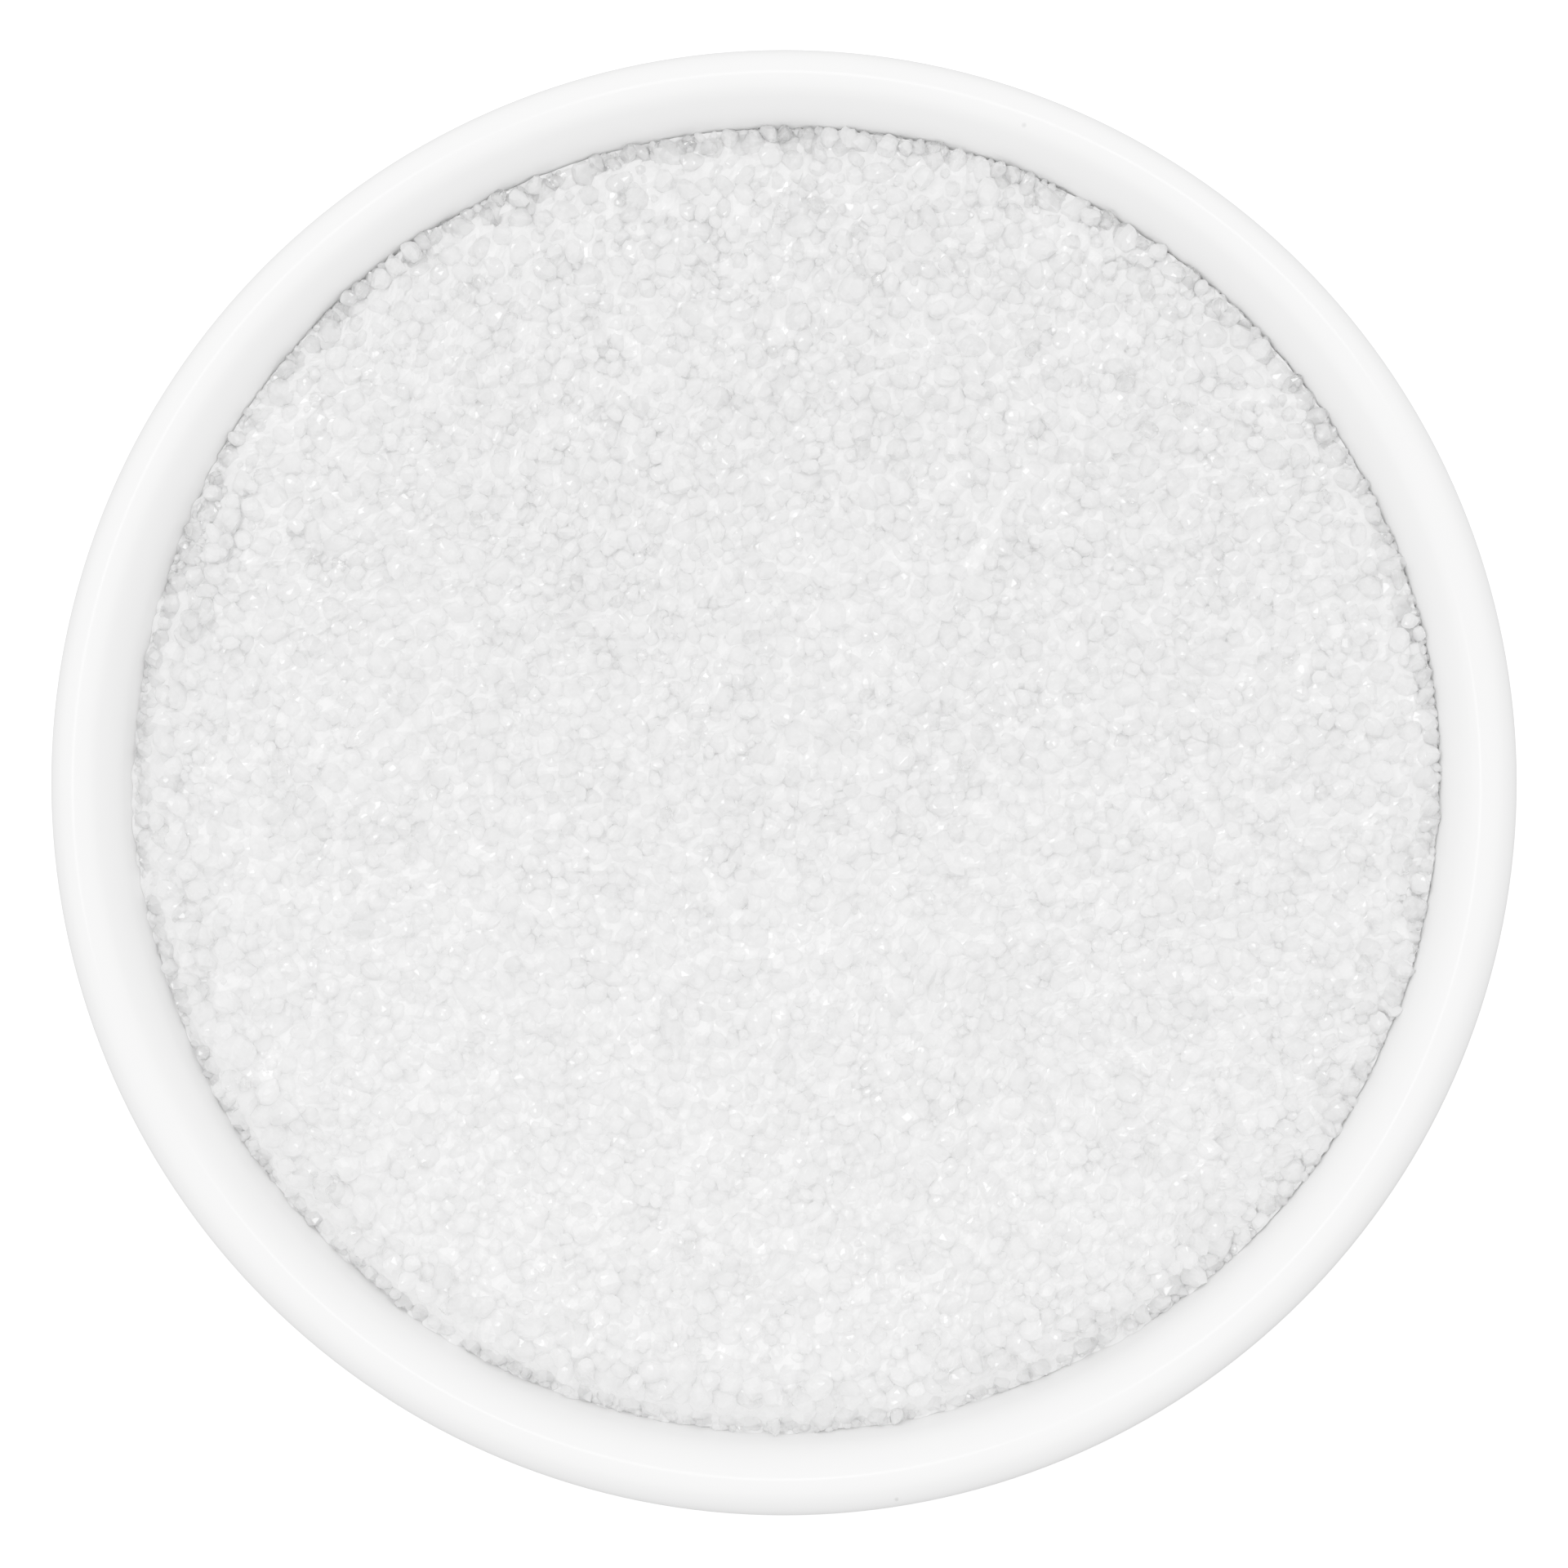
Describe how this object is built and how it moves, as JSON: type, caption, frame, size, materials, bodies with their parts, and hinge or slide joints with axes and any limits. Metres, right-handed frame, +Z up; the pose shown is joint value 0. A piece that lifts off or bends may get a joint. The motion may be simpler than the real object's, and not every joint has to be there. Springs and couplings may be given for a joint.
{
  "type": "dish of granulated sweetener",
  "caption": "Small round glazed white dish filled to the brim with coarse translucent sweetener crystals, a food ingredient to set on a table or shelf.",
  "frame": {"origin": "centre of the dish's foot ring, on the plane that the dish stands on", "axes": "+Z up, along the dish's turning axis; the dish is round, so +X and +Y are the picture's right and top"},
  "size_m": [0.06, 0.06, 0.0206],
  "materials": {
    "dish": "gloss white glaze",
    "sweetener": "frosted translucent white crystals, some of them clear"
  },
  "bodies": {
    "root": {"dish": "dish", "sweetener": "sweetener"}
  },
  "joints": []
}
